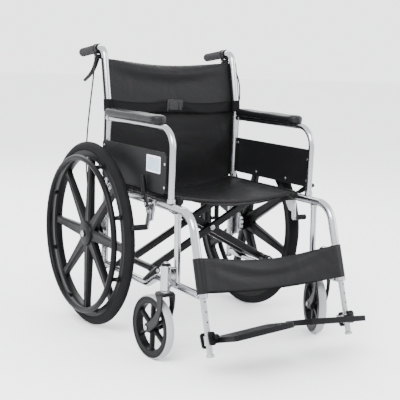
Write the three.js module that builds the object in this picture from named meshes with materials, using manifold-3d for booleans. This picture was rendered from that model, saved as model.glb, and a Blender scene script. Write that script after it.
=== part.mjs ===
// Folding manual wheelchair. Millimetres, +Z up, front of the chair towards -Y, the user's left towards +X.
// The origin is on the floor under the middle of the chair.
// Every sub-part is one closed mesh. Welded or bolted neighbours keep a gap of FIT between their faces.
import * as THREE from 'three';
import { mergeVertices } from 'three/addons/utils/BufferGeometryUtils.js';
import Module from 'manifold-3d';

const wasm = await Module();
wasm.setup();

// ---- Driving dimensions ----
const FIT = 0.3;
const RUNNING = 0.35;

const WHEEL_R = 300;
const WHEEL_X = 314;
const HUB_Y = 238;
const TYRE_W = 32;
const RIM_R = 272;
const RIM_INNER_R = 249;
const RIM_W = 28;
const SPOKES = 8;
const SPOKE_START = { right: 1, left: 15 };
const HUB_R = 30;
const HUB_CAP_R = 41;
const HUB_CAP_X = 335;
const AXLE_R = 6;
const HANDRIM_X = 351;
const HANDRIM_R = 249;
const HANDRIM_TUBE_R = 9.5;

const TUBE_R = 11;
const RAIL_R = 12.5;
const ARM_R = 9.5;
const ARM_X = 256;
const FRAME_X = 252;
const RAIL_Z = 450;
const SEAT_Z = 462;
const LOWER_Z = 228;
const LOWER_REAR_Z = 194;
const CANE_Y = 247;
const CANE_BEND_Z = 716;
const HANDLE_Y = 290;
const HANDLE_Z = 905;
const HANDLE_DROP = 7.5;
const GRIP_START = 55;
const GRIP_END = 166;
const GRIP_R = 14.5;
const ARM_POST_Y = -178;
const ARM_Z = 679;
const FRONT_POST_Y = -222;
const FRONT_POST_TOP_Y = -212;
const KNEE_Y = -287;
const LEG_ANGLE = 18.5;
const LEG_LENGTH = 240;
const LEG_BORE = 146;
const EXTENSION_R = 8.5;

const CROSS_INSET = 37;
const CROSS_X = FRAME_X - CROSS_INSET;
const BAR_W = 24;
const BAR_T = 14;
const SEAT_FRONT = -158;
const SEAT_BACK = 225;
const PIVOT_FRONT = -26;
const PIVOT_BACK = 150;
const FRONT_BARS_Y = 1;
const REAR_BARS_Y = 121;

const CASTER_R = 95;
const CASTER_X = 293;
const CASTER_Y = -226;
const CASTER_TRAIL = 57;
const CROWN_Z = 205;
const BARREL_BOTTOM = 218;
const BARREL_TOP = 292;
const CASTER_RIM_R = 86;
const CASTER_SPOKES = 6;
const CASTER_TURN = { right: 4, left: -23 };

const FOOT_Z = 114;
const TUBE_END_Z = 69;
const FOOT_TOE_UP = 19;
const FOOT_INNER_UP = 4;
const FOOT_LENGTH = 222;
const FOOT_DEPTH = 136;

// Moves the whole chair so that its overall box is centred on the origin.
const CENTRE_Y = -14;

const ROUND = 12;
const WHEEL_SEGMENTS = 40;
const CASTER_SEGMENTS = 24;

// ---- Materials ----
const finish = (color, roughness, metalness) => new THREE.MeshStandardMaterial({ color, roughness, metalness });
const silver = finish(0xc9cbcd, 0.32, 0.95);
const hardware = finish(0xa9abad, 0.35, 1);
const crossBlack = finish(0x17181a, 0.45, 0.2);
const plastic = finish(0x141416, 0.5, 0);
const rubber = finish(0x17171a, 0.85, 0);
const greyRubber = finish(0x9c9ea0, 0.8, 0);
const gripRubber = finish(0x2c2b2d, 0.8, 0);
const fabric = finish(0x1b1b1d, 0.7, 0);

// ---- Geometry helpers ----
const radians = THREE.MathUtils.degToRad;

function signedVolume(geometry) {
  const p = geometry.getAttribute('position');
  const index = geometry.index.array;
  const [a, b, c] = [new THREE.Vector3(), new THREE.Vector3(), new THREE.Vector3()];
  let total = 0;
  for (let i = 0; i < index.length; i += 3) {
    a.fromBufferAttribute(p, index[i]);
    b.fromBufferAttribute(p, index[i + 1]);
    c.fromBufferAttribute(p, index[i + 2]);
    total += a.dot(b.cross(c));
  }
  return total;
}

// A welded copy with shared vertices and its faces pointing out.
function closed(geometry) {
  const copy = geometry.clone();
  copy.deleteAttribute('normal');
  copy.deleteAttribute('uv');
  const merged = mergeVertices(copy, 1e-3);
  if (signedVolume(merged) < 0) {
    merged.index.array.reverse();
  }
  return merged;
}

function toSolid(geometry) {
  const shape = closed(geometry);
  const mesh = new wasm.Mesh({
    numProp: 3,
    vertProperties: new Float32Array(shape.getAttribute('position').array),
    triVerts: new Uint32Array(shape.index.array),
  });
  mesh.merge();
  return new wasm.Manifold(mesh);
}

function toGeometry(solid) {
  const mesh = solid.getMesh();
  const geometry = new THREE.BufferGeometry();
  geometry.setAttribute('position', new THREE.BufferAttribute(mesh.vertProperties, 3));
  geometry.setIndex(new THREE.BufferAttribute(mesh.triVerts, 1));
  return geometry;
}

const join = (...shapes) => toGeometry(shapes.map(toSolid).reduce((all, one) => all.add(one)));

function cut(shape, ...tools) {
  return toGeometry(tools.map(toSolid).reduce((rest, tool) => rest.subtract(tool), toSolid(shape)));
}

function box(x0, x1, y0, y1, z0, z1) {
  const geometry = new THREE.BoxGeometry(Math.abs(x1 - x0), Math.abs(y1 - y0), Math.abs(z1 - z0));
  return geometry.translate((x0 + x1) / 2, (y0 + y1) / 2, (z0 + z1) / 2);
}

// A cylinder between two points.
function rod(from, to, radius, sides = ROUND) {
  const a = new THREE.Vector3(...from);
  const b = new THREE.Vector3(...to);
  const geometry = new THREE.CylinderGeometry(radius, radius, a.distanceTo(b), sides);
  const along = b.clone().sub(a).normalize();
  geometry.applyQuaternion(new THREE.Quaternion().setFromUnitVectors(new THREE.Vector3(0, 1, 0), along));
  return geometry.translate(...a.add(b).multiplyScalar(0.5).toArray());
}

// A path through corners [x, y, z, bend radius], with a station at each end of a bend and along it.
class BentPath extends THREE.Curve {
  constructor(corners, degreesPerStep) {
    super();
    this.stations = [new THREE.Vector3(...corners[0])];
    for (let i = 1; i < corners.length - 1; i += 1) {
      this.bend(corners[i - 1], corners[i], corners[i + 1], degreesPerStep);
    }
    this.stations.push(new THREE.Vector3(...corners.at(-1).slice(0, 3)));
  }

  bend(before, corner, after, degreesPerStep) {
    const middle = new THREE.Vector3(...corner);
    const back = new THREE.Vector3(...before).sub(middle).normalize();
    const on = new THREE.Vector3(...after).sub(middle).normalize();
    const turn = Math.PI - back.angleTo(on);
    const reach = corner[3] * Math.tan(turn / 2);
    const centre = back.clone().add(on).normalize().multiplyScalar(corner[3] / Math.cos(turn / 2)).add(middle);
    const start = back.clone().multiplyScalar(reach).add(middle).sub(centre);
    const axis = on.clone().cross(back).normalize();
    const steps = Math.max(1, Math.round(THREE.MathUtils.radToDeg(turn) / degreesPerStep));
    for (let k = 0; k <= steps; k += 1) {
      this.stations.push(start.clone().applyAxisAngle(axis, (turn * k) / steps).add(centre));
    }
  }

  get steps() {
    return this.stations.length - 1;
  }

  getUtoTmapping(u) {
    return u;
  }

  getPoint(t, target = new THREE.Vector3()) {
    const at = Math.min(Math.max(t, 0), 1) * this.steps;
    const first = Math.min(Math.floor(at + 1e-9), this.steps - 1);
    return target.lerpVectors(this.stations[first], this.stations[first + 1], at - first);
  }
}

function ring(radius, sides) {
  const corner = (k) => new THREE.Vector2(
    radius * Math.cos((2 * Math.PI * k) / sides),
    radius * Math.sin((2 * Math.PI * k) / sides),
  );
  return new THREE.Shape(Array.from({ length: sides }, (_, k) => corner(k)));
}

function bentTube(corners, radius, { sides = ROUND, degreesPerStep = 15 } = {}) {
  const path = new BentPath(corners, degreesPerStep);
  return new THREE.ExtrudeGeometry(ring(radius, sides), { steps: path.steps, extrudePath: path });
}

// An outline of (y, z) points, from x0 to x1.
function plateX(points, x0, x1) {
  const shape = new THREE.Shape(points.map((p) => new THREE.Vector2(...p)));
  const options = { depth: Math.abs(x1 - x0), bevelEnabled: false };
  const geometry = new THREE.ExtrudeGeometry(shape, options);
  const turn = new THREE.Matrix4().makeBasis(
    new THREE.Vector3(0, 1, 0),
    new THREE.Vector3(0, 0, 1),
    new THREE.Vector3(1, 0, 0),
  );
  return geometry.applyMatrix4(turn).translate(Math.min(x0, x1), 0, 0);
}

// An outline of (x, z) points, from y0 to y1.
function plateY(points, y0, y1) {
  const shape = new THREE.Shape(points.map((p) => new THREE.Vector2(...p)));
  const geometry = new THREE.ExtrudeGeometry(shape, { depth: y1 - y0, bevelEnabled: false });
  return geometry.rotateX(Math.PI / 2).translate(0, y1, 0);
}

// A ring of revolution about the X axis, from a closed loop of (radius, x) points. A flat is at the bottom.
function latheX(loop, segments) {
  const stretch = 1 / Math.cos(Math.PI / segments);
  const points = [...loop, loop[0]].map(([r, x]) => new THREE.Vector2(r * stretch, x));
  const geometry = new THREE.LatheGeometry(points, segments);
  return geometry.rotateZ(-Math.PI / 2).rotateX(Math.PI / segments);
}

const model = new THREE.Group();
model.position.y = CENTRE_Y;

function add(name, geometry, material, parent = model) {
  const mesh = new THREE.Mesh(closed(geometry), material);
  mesh.name = name;
  parent.add(mesh);
  return mesh;
}

// Points on the inclined front tube, at a distance down it from the knee.
const legDown = new THREE.Vector3(0, -Math.sin(radians(LEG_ANGLE)), -Math.cos(radians(LEG_ANGLE)));
const onLeg = (x, s) => [x, KNEE_Y + legDown.y * s, RAIL_Z + legDown.z * s];

// Points on the handle's straight, at a distance back from the handle's corner.
const gripBack = new THREE.Vector3(0, Math.cos(radians(HANDLE_DROP)), -Math.sin(radians(HANDLE_DROP)));
const onGrip = (x, s, down = 0) => [x, HANDLE_Y + gripBack.y * s, HANDLE_Z + gripBack.z * s - down];

// ---- Side frames ----
// Each side is built for side = -1, the user's right, or +1, the user's left.
function rearUpright(side) {
  const x = side * FRAME_X;
  return bentTube([
    [x, CANE_Y, LOWER_REAR_Z - 16],
    [x, CANE_Y, CANE_BEND_Z, 160],
    [x, HANDLE_Y, HANDLE_Z, 34],
    onGrip(x, GRIP_END - 6),
  ], TUBE_R);
}

// The seat rail, bent at the knee into the front leg tube, with the two saddles for the seat tube.
function sideRail(side) {
  const x = side * FRAME_X;
  const tube = bentTube([
    [x, CANE_Y - TUBE_R - FIT, RAIL_Z],
    [x, KNEE_Y, RAIL_Z, 70],
    onLeg(x, LEG_LENGTH),
  ], RAIL_R);
  const inner = side * (CROSS_X - 14);
  const outer = side * (FRAME_X - 6);
  const saddles = [-115, 190].map((y) => box(inner, outer, y - 12, y + 12, SEAT_Z - 22, SEAT_Z - 5));
  const seatTube = rod([side * CROSS_X, -230, SEAT_Z], [side * CROSS_X, 230, SEAT_Z], TUBE_R + RUNNING, 24);
  const bore = rod(onLeg(x, LEG_LENGTH - LEG_BORE), onLeg(x, LEG_LENGTH + 5), EXTENSION_R + 0.7, 16);
  return cut(join(tube, ...saddles), seatTube, bore);
}

function armTube(side) {
  const x = side * ARM_X;
  return bentTube([
    [x, ARM_POST_Y, RAIL_Z + RAIL_R + FIT],
    [x, ARM_POST_Y, ARM_Z, 62],
    [x, CANE_Y - TUBE_R - FIT, ARM_Z],
  ], ARM_R);
}

function frontPost(side) {
  const x = side * FRAME_X;
  return rod([x, FRONT_POST_Y, LOWER_Z + TUBE_R + 1], [x, FRONT_POST_TOP_Y, RAIL_Z - RAIL_R - 1], 9.5);
}

// The lower rail steps down behind the caster and carries the two lugs and pins the cross brace turns on.
function lowerRail(side) {
  const x = side * FRAME_X;
  const legY = KNEE_Y - (RAIL_Z - LOWER_Z) * Math.tan(radians(LEG_ANGLE));
  const front = legY + (RAIL_R + 4.4) / Math.cos(radians(LEG_ANGLE));
  const pieces = [bentTube([
    [x, front, LOWER_Z],
    [x, -112, LOWER_Z, 50],
    [x, -52, LOWER_REAR_Z, 50],
    [x, CANE_Y - TUBE_R - FIT, LOWER_REAR_Z],
  ], TUBE_R)];
  for (const [y, towards] of [[PIVOT_FRONT - 11, 1], [PIVOT_BACK + 11, -1]]) {
    pieces.push(box(side * (CROSS_X - 9), side * (FRAME_X - 5), y - 5, y + 5, LOWER_REAR_Z - 5, LOWER_Z + 9));
    const pin = side * CROSS_X;
    pieces.push(rod([pin, y, LOWER_Z], [pin, y + towards * 24, LOWER_Z], 5.5));
  }
  return join(...pieces);
}

function casterBarrel(side) {
  const x = side * CASTER_X;
  const barrel = rod([x, CASTER_Y, BARREL_BOTTOM], [x, CASTER_Y, BARREL_TOP], 15, 16);
  const arm = box(side * (FRAME_X + TUBE_R + FIT), x, CASTER_Y - 8, CASTER_Y + 10, 228, 284);
  return cut(join(barrel, arm), rod([x, CASTER_Y, 210], [x, CASTER_Y, 300], AXLE_R + RUNNING));
}

// The axle plate carries the axle and the hub brake's drum cover.
function axlePlate(side) {
  const outline = [[214, 262], [258, 262], [262, 300], [258, 346], [232, 352], [214, 330]];
  const inner = FRAME_X + TUBE_R + FIT;
  const plate = plateX(outline, side * inner, side * (inner + 5));
  const drum = rod([side * (inner + 4), HUB_Y, WHEEL_R], [side * 282, HUB_Y, WHEEL_R], 34, 24);
  const bore = rod([side * 255, HUB_Y, WHEEL_R], [side * 290, HUB_Y, WHEEL_R], AXLE_R + RUNNING);
  return cut(join(plate, drum), bore);
}

function wheelAxle(side) {
  const shaft = rod([side * 264, HUB_Y, WHEEL_R], [side * 343, HUB_Y, WHEEL_R], AXLE_R);
  const nut = rod([side * (HUB_CAP_X + 0.5), HUB_Y, WHEEL_R], [side * 343, HUB_Y, WHEEL_R], 10, 6);
  return join(shaft, nut);
}

function armPad(side) {
  const x = side * ARM_X;
  const z = ARM_Z + ARM_R + FIT;
  const outline = [[-104, z - 4], [224, z - 4], [230, z + 4], [226, z + 20], [210, z + 25]];
  outline.push([-70, z + 25], [-96, z + 20], [-110, z + 8], [-110, z]);
  const pad = plateX(outline, x - 25, x + 25);
  const groove = rod([x, -130, ARM_Z], [x, 240, ARM_Z], ARM_R + FIT, 16);
  return cut(pad, groove);
}

function sidePanel(side) {
  const inner = FRAME_X + TUBE_R + FIT;
  const outline = [[-152, 485], [236, 485], [250, 492], [250, 607], [-150, 607], [-163, 594], [-163, 496]];
  return plateX(outline, side * inner, side * (inner + 4));
}

function grip(side) {
  const x = side * FRAME_X;
  const sleeve = rod(onGrip(x, GRIP_START), onGrip(x, GRIP_END), GRIP_R, 16);
  const bore = rod(onGrip(x, GRIP_START - 5), onGrip(x, GRIP_END - 5), TUBE_R + FIT, 16);
  return cut(sleeve, bore);
}

// ---- Hand brakes ----
const LEVER_PIVOT = onGrip(0, 43, 27);

function leverMount(side) {
  const x = side * FRAME_X;
  const [, y, z] = LEVER_PIVOT;
  const block = box(x - 14, x + 14, y - 8, y + 8, z + 12, z + 41);
  const ears = [-1, 1].map((k) => box(x + k * 8, x + k * 12, y - 8, y + 8, z - 8, z + 14));
  const tube = rod(onGrip(x, 20), onGrip(x, 70), TUBE_R + FIT, 16);
  const pin = rod([x - 9, y, z], [x + 9, y, z], 3);
  return join(cut(block, tube), ...ears, pin);
}

function brakeLever(side) {
  const x = side * FRAME_X;
  const [, y, z] = LEVER_PIVOT;
  const blade = bentTube([
    [x, y + 3, z - 2],
    [x, y + 20, z - 30, 16],
    [x, y + 58, z - 60, 60],
    [x, y + 100, z - 82],
  ], 4.5, { sides: 8 });
  const boss = rod([x - 7, y, z], [x + 7, y, z], 7);
  return cut(join(blade, boss), rod([x - 10, y, z], [x + 10, y, z], 3 + RUNNING));
}

// Each cable runs from its lever's mount to the hub brake's arm. The right one hangs well behind the
// upright, and the left one bows outwards before it comes down close to the upright.
const CABLE_ROUTES = {
  right: [
    [-268, 322, 872],
    [-270, 324, 830],
    [-273, 327, 780],
    [-277, 334, 710],
    [-280, 342, 630],
    [-281, 345, 560],
    [-282, 338, 490],
    [-284, 314, 420],
    [-286, 284, 372],
    [-286, 273, 360],
  ],
  left: [
    [268, 322, 872],
    [286, 318, 850],
    [300, 306, 805],
    [296, 290, 752],
    [281, 277, 700],
    [273, 270, 640],
    [273, 269, 540],
    [275, 270, 440],
    [284, 272, 375],
    [286, 273, 360],
  ],
};

function brakeCable(name) {
  const path = new THREE.CatmullRomCurve3(CABLE_ROUTES[name].map((p) => new THREE.Vector3(...p)));
  return new THREE.ExtrudeGeometry(ring(2.5, 8), { steps: 26, extrudePath: path });
}

// The hub brake's arm swings about the axle, between the drum cover and the wheel.
function brakeArm(side) {
  const outline = [[230, 310], [262, 352], [272, 358], [280, 350], [248, 288], [238, 284], [226, 290]];
  const arm = plateX(outline, side * 282.5, side * 286.5);
  return cut(arm, rod([side * 278, HUB_Y, WHEEL_R], [side * 290, HUB_Y, WHEEL_R], AXLE_R + 0.6));
}

// ---- Rear wheels ----
function wheel(side, name) {
  const x = side * WHEEL_X;
  const half = RIM_W / 2;
  const rim = latheX([[RIM_INNER_R, x - half], [RIM_R, x - half], [RIM_R, x + half], [RIM_INNER_R, x + half]],
    WHEEL_SEGMENTS);
  const parts = [rod([side * 288, 0, 0], [side * HUB_CAP_X, 0, 0], HUB_R, 24)];
  parts.push(rod([side * (HUB_CAP_X - 14), 0, 0], [side * HUB_CAP_X, 0, 0], HUB_CAP_R, 24));
  for (let k = 0; k < SPOKES; k += 1) {
    const spoke = box(x - 10, x + 10, 10, RIM_INNER_R + 4, -12.5, 12.5);
    parts.push(spoke.rotateX(radians(SPOKE_START[name] + (360 / SPOKES) * k)));
  }
  const bore = rod([side * 280, 0, 0], [side * 345, 0, 0], AXLE_R + RUNNING);
  return cut(join(rim, ...parts), bore).translate(0, HUB_Y, WHEEL_R);
}

function tyre(side) {
  const x = side * WHEEL_X;
  const half = TYRE_W / 2;
  const loop = [
    [RIM_R + 1, x - half + 3],
    [RIM_R + 16, x - half],
    [WHEEL_R, x - 8],
    [WHEEL_R, x + 8],
    [RIM_R + 16, x + half],
    [RIM_R + 1, x + half - 3],
  ];
  return latheX(loop, WHEEL_SEGMENTS).translate(0, HUB_Y, WHEEL_R);
}

function handrim(side, name) {
  const x = side * HANDRIM_X;
  const torus = new THREE.TorusGeometry(HANDRIM_R, HANDRIM_TUBE_R, 6, WHEEL_SEGMENTS);
  const hoop = torus.rotateY(Math.PI / 2).translate(x, 0, 0);
  const face = side * (WHEEL_X + RIM_W / 2 + FIT);
  const tabs = [];
  for (let k = 0; k < SPOKES; k += 1) {
    const tab = box(face, x, RIM_INNER_R + 1, RIM_INNER_R + 8, -9, 9);
    tabs.push(tab.rotateX(radians(SPOKE_START[name] + (360 / SPOKES) * (k + 0.5))));
  }
  return join(hoop, ...tabs).translate(0, HUB_Y, WHEEL_R);
}

// ---- Casters, built about their swivel axis and turned to where they trail ----
function casterFork() {
  const t = CASTER_TRAIL;
  const crown = box(-24.5, 24.5, -16, 22, CROWN_Z, BARREL_BOTTOM - 5);
  const legs = [-1, 1].map((k) => {
    const front = [[t - 8, 84], [20, 104], [-6, 134], [-18, 168], [-18, CROWN_Z + 8]];
    const back = [[22, CROWN_Z + 8], [8, 190], [6, 166], [18, 142], [t - 8, 110], [t + 10, 106], [t + 10, 86]];
    return plateX([...front, ...back], k * 19.5, k * 24.5);
  });
  const stem = rod([0, 0, CROWN_Z + 4], [0, 0, BARREL_TOP + 5], AXLE_R);
  const collar = rod([0, 0, BARREL_BOTTOM - 6], [0, 0, BARREL_BOTTOM - FIT], 12);
  const nut = rod([0, 0, BARREL_TOP + FIT], [0, 0, BARREL_TOP + 6], 11, 6);
  const axle = rod([-28, t, CASTER_R], [28, t, CASTER_R], 4.5);
  return join(crown, ...legs, stem, collar, nut, axle);
}

function casterWheel() {
  const loop = [[CASTER_RIM_R - 12, -12], [CASTER_RIM_R, -12], [CASTER_RIM_R, 12], [CASTER_RIM_R - 12, 12]];
  const parts = [rod([-17, 0, 0], [17, 0, 0], 17, 16)];
  for (let k = 0; k < CASTER_SPOKES; k += 1) {
    const spoke = box(-6, 6, 8, CASTER_RIM_R - 10, -8, 8);
    parts.push(spoke.rotateX(radians(90 + (360 / CASTER_SPOKES) * k)));
  }
  const bore = rod([-20, 0, 0], [20, 0, 0], 4.5 + RUNNING);
  return cut(join(latheX(loop, CASTER_SEGMENTS), ...parts), bore).translate(0, CASTER_TRAIL, CASTER_R);
}

function casterTyre() {
  const inner = CASTER_RIM_R + 0.5;
  const loop = [[inner, -13], [CASTER_R - 3, -13], [CASTER_R, -9], [CASTER_R, 9], [CASTER_R - 3, 13], [inner, 13]];
  return latheX(loop, CASTER_SEGMENTS).translate(0, CASTER_TRAIL, CASTER_R);
}

// ---- Leg rests ----
const FOOT_Y = onLeg(0, (RAIL_Z - FOOT_Z) / Math.cos(radians(LEG_ANGLE)))[1];

// The inner tube slides in the leg tube. A clamp on it carries the pin that the footplate flips up on.
function legExtension(side) {
  const x = side * FRAME_X;
  const slope = Math.cos(radians(LEG_ANGLE));
  const foot = (RAIL_Z - FOOT_Z) / slope;
  const end = (RAIL_Z - TUBE_END_Z) / slope;
  const tube = rod(onLeg(x, LEG_LENGTH - 95), onLeg(x, end), EXTENSION_R);
  const clamp = rod(onLeg(x, foot - 13), onLeg(x, foot + 13), RAIL_R, 16);
  const flange = rod(onLeg(x, end - 8), onLeg(x, end), RAIL_R - 1, 16);
  const pin = tipFoot(footPin(side, 27, 4), side).translate(x, FOOT_Y, FOOT_Z);
  return join(tube, clamp, flange, pin);
}

// The footplate is built level about the leg tube, with its heel towards +Y, and then tipped.
// Its hinge pin runs heel to toe, inboard of the tube and above the plate, so that the plate clears the tube.
const FOOT_PIN = [9.5, 8];

function footPin(side, half, radius) {
  const [inboard, above] = FOOT_PIN;
  return rod([-side * inboard, -half, above], [-side * inboard, half, above], radius, 16);
}

function tipFoot(geometry, side) {
  return geometry.rotateY(radians(side * FOOT_INNER_UP)).rotateX(radians(-FOOT_TOE_UP));
}

function footplate(side) {
  const inner = -side * FOOT_LENGTH;
  const near = -side * 17;
  const toe = 22 - FOOT_DEPTH;
  const plate = box(near, inner, toe, 22, -6, 4);
  const rib = box(near, inner, toe, toe + 8, -12, 0);
  const backRib = box(near, inner, 14, 22, -12, 0);
  const parts = [plate, rib, backRib];
  for (const y of [-21, 21]) {
    parts.push(box(side * 9, near - side * 8, y - 3.5, y + 3.5, -9, 16));
  }
  const shape = tipFoot(cut(join(...parts), footPin(side, 60, 4 + RUNNING)), side);
  const [up, down] = [-60, 60].map((s) => legDown.toArray().map((v) => v * s));
  return cut(shape, rod(up, down, RAIL_R + 2, 16)).translate(side * FRAME_X, FOOT_Y, FOOT_Z);
}

// ---- Wheel locks ----
// The right lever stands up and the left one is pushed forwards, and each shoe follows its lever.
const LOCK_PIVOT = [-75, 446];
const SHOE_PIVOT = [-82, 424];
const LEVER_LEAN = { right: 22, left: -60 };
const SHOE_LEAN = { right: 0, left: -21 };
const SHOE_DROP = 50;

// Turns a piece built about the X axis by its lean, with its top going back, and moves it to its pivot.
const place = (geometry, lean, [y, z]) => geometry.rotateX(radians(-lean)).translate(0, y, z);

function lockBracket(side) {
  const inner = FRAME_X + RAIL_R + FIT;
  const outline = [[-94, 398], [-70, 396], [-52, 420], [-52, 462], [-104, 462], [-104, 424]];
  const plate = plateX(outline, side * inner, side * (inner + 4));
  const pins = [[LOCK_PIVOT, 284], [SHOE_PIVOT, 279]].map(([[y, z], end]) => (
    rod([side * (inner + 2), y, z], [side * end, y, z], 4)
  ));
  return join(plate, ...pins);
}

function lockLever(side, name) {
  const blade = plateX([[-9, -9], [9, -9], [9, 8], [6, 42], [-6, 42], [-9, 8]], side * 278.5, side * 282.5);
  const handle = bentTube([[side * 280.5, 0, 30], [side * 280.5, 0, 58, 60], [side * 280.5, -5, 84]], 8);
  const bore = rod([side * 270, 0, 0], [side * 290, 0, 0], 4 + RUNNING);
  return place(cut(join(blade, handle), bore), LEVER_LEAN[name], LOCK_PIVOT);
}

function lockShoe(side, name) {
  const arm = plateX([[-9, 8], [9, 8], [9, -8], [19, -SHOE_DROP], [6, -SHOE_DROP - 5], [-9, -8]],
    side * 270.5, side * 276.5);
  const bore = rod([side * 262, 0, 0], [side * 290, 0, 0], 4 + RUNNING);
  const bar = rod([side * 271, 12, -SHOE_DROP], [side * 322, 14, -SHOE_DROP], 9);
  return place(cut(join(arm, bar), bore), -SHOE_LEAN[name], SHOE_PIVOT);
}

function buildSide(side, name) {
  const tubes = { rear_upright: rearUpright, side_rail: sideRail, arm_tube: armTube, front_post: frontPost };
  Object.assign(tubes, { lower_rail: lowerRail });
  for (const [part, make] of Object.entries(tubes)) {
    add(`${name}_${part}`, make(side), silver);
  }
  add(`${name}_caster_barrel`, casterBarrel(side), silver);
  add(`${name}_axle_plate`, axlePlate(side), silver);
  add(`${name}_wheel_axle`, wheelAxle(side), hardware);
  add(`${name}_arm_pad`, armPad(side), plastic);
  add(`${name}_side_panel`, sidePanel(side), plastic);
  add(`${name}_grip`, grip(side), gripRubber);
  add(`${name}_lever_mount`, leverMount(side), plastic);
  add(`${name}_brake_lever`, brakeLever(side), plastic);
  add(`${name}_brake_cable`, brakeCable(name), rubber);
  add(`${name}_brake_arm`, brakeArm(side), hardware);
  add(`${name}_wheel`, wheel(side, name), plastic);
  add(`${name}_tyre`, tyre(side), rubber);
  add(`${name}_handrim`, handrim(side, name), plastic);
  add(`${name}_leg_extension`, legExtension(side), silver);
  add(`${name}_footplate`, footplate(side), plastic);
  add(`${name}_lock_bracket`, lockBracket(side), hardware);
  add(`${name}_lock_lever`, lockLever(side, name), plastic);
  add(`${name}_lock_shoe`, lockShoe(side, name), plastic);
  const caster = new THREE.Group();
  caster.position.set(side * CASTER_X, CASTER_Y, 0);
  caster.rotation.z = radians(CASTER_TURN[name]);
  model.add(caster);
  add(`${name}_caster_fork`, casterFork(), plastic, caster);
  add(`${name}_caster_wheel`, casterWheel(), plastic, caster);
  add(`${name}_caster_tyre`, casterTyre(), greyRubber, caster);
}

// ---- Cross brace ----
// Each half is a lower pivot tube at x = -end, two bars, and the seat tube at x = +end.
function crossHalf(end, frontY, rearY, bolts) {
  const middle = (SEAT_Z + LOWER_Z) / 2;
  const rise = SEAT_Z - LOWER_Z;
  const length = Math.hypot(2 * CROSS_X, rise);
  const slope = Math.atan2(rise, 2 * end);
  const bars = [frontY, rearY].map((y) => {
    const bar = new THREE.BoxGeometry(length, BAR_T, BAR_W).rotateY(-slope);
    return bar.translate(0, y, middle);
  });
  const pivot = rod([-end, PIVOT_FRONT, LOWER_Z], [-end, PIVOT_BACK, LOWER_Z], TUBE_R);
  const seat = rod([end, SEAT_FRONT, SEAT_Z], [end, SEAT_BACK, SEAT_Z], TUBE_R);
  const bore = rod([-end, PIVOT_FRONT - 5, LOWER_Z], [-end, PIVOT_BACK + 5, LOWER_Z], 5.5 + RUNNING);
  const holes = [frontY, rearY].map((y) => rod([0, y - 15, middle], [0, y + 15, middle], 5 + RUNNING));
  const half = cut(join(...bars, pivot, seat), bore);
  return bolts ? join(half, ...bolts(middle)) : cut(half, ...holes);
}

// The bolt through each pair of bars is held by the outer bar and turns in the inner one.
function crossBolts(middle) {
  return [[FRONT_BARS_Y, 1], [REAR_BARS_Y, -1]].flatMap(([y, towards]) => {
    const at = (offset) => [0, y + towards * offset, middle];
    const shank = rod(at(-20), at(23), 5);
    const cap = rod(at(-21), at(-14), 9, 6);
    const nut = rod(at(16.4), at(23), 9, 6);
    return [shank, cap, nut];
  });
}

// ---- Upholstery ----
// The seat sling lies over both seat tubes and sags between them.
function seatSling() {
  const steps = 14;
  const edge = CROSS_X + 12;
  const top = (x) => SEAT_Z + TUBE_R + 4 - 16 * Math.cos((Math.PI * x) / (2 * edge)) ** 2 * (Math.abs(x) < edge);
  const sag = (x) => (Math.abs(x) > CROSS_X - 12 ? SEAT_Z + TUBE_R + 3.6 : top(x));
  const across = Array.from({ length: steps + 1 }, (_, k) => -edge + (2 * edge * k) / steps);
  const upper = across.map((x) => [x, sag(x)]);
  const lower = across.map((x) => [x, sag(x) - 3]).reverse();
  return plateY([...upper, ...lower], SEAT_FRONT, SEAT_BACK - 4);
}

// The back is stretched behind both uprights and leans with them.
function backUpholstery() {
  const lean = (HANDLE_Y - CANE_Y) / (HANDLE_Z - CANE_BEND_Z);
  const y = CANE_Y + TUBE_R + 2 * FIT;
  const rise = 868 - CANE_BEND_Z;
  const outline = [
    [y + 0.6, 478],
    [y + 3.6, 478],
    [y + 3.6, CANE_BEND_Z - 8],
    [y + 4.6 + rise * lean, 868],
    [y + 1.6 + rise * lean, 868],
    [y + 0.6, CANE_BEND_Z - 8],
  ];
  return plateX(outline, -FRAME_X - 9, FRAME_X + 9);
}

// A point in front of the back, at height z, a distance ahead of its front face.
function aheadOfBack(z, ahead) {
  const lean = (HANDLE_Y - CANE_Y) / (HANDLE_Z - CANE_BEND_Z);
  return CANE_Y + TUBE_R + FIT + 0.6 + Math.max(0, z - CANE_BEND_Z) * lean - ahead;
}

function backBelt() {
  const outline = [
    [aheadOfBack(699, 3.5), 699],
    [aheadOfBack(699, 1), 699],
    [aheadOfBack(737, 1), 737],
    [aheadOfBack(737, 3.5), 737],
  ];
  return plateX(outline, -FRAME_X + TUBE_R + 3, FRAME_X - TUBE_R - 3);
}

function beltBuckle() {
  const outline = [
    [aheadOfBack(694, 17), 694],
    [aheadOfBack(694, 5), 694],
    [aheadOfBack(742, 5), 742],
    [aheadOfBack(742, 17), 742],
  ];
  return plateX(outline, -32, 32);
}

// The calf strap is stretched across the front of both leg tubes.
function calfStrap() {
  const ahead = RAIL_R + 1;
  const across = new THREE.Vector3(0, -Math.cos(radians(LEG_ANGLE)), Math.sin(radians(LEG_ANGLE)));
  const corner = (s, out) => {
    const [, y, z] = onLeg(0, s);
    return [y + across.y * out, z + across.z * out];
  };
  const outline = [corner(126, ahead), corner(126, ahead + 3), corner(226, ahead + 3), corner(226, ahead)];
  return plateX(outline, -FRAME_X - 13, FRAME_X + 13);
}

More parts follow.
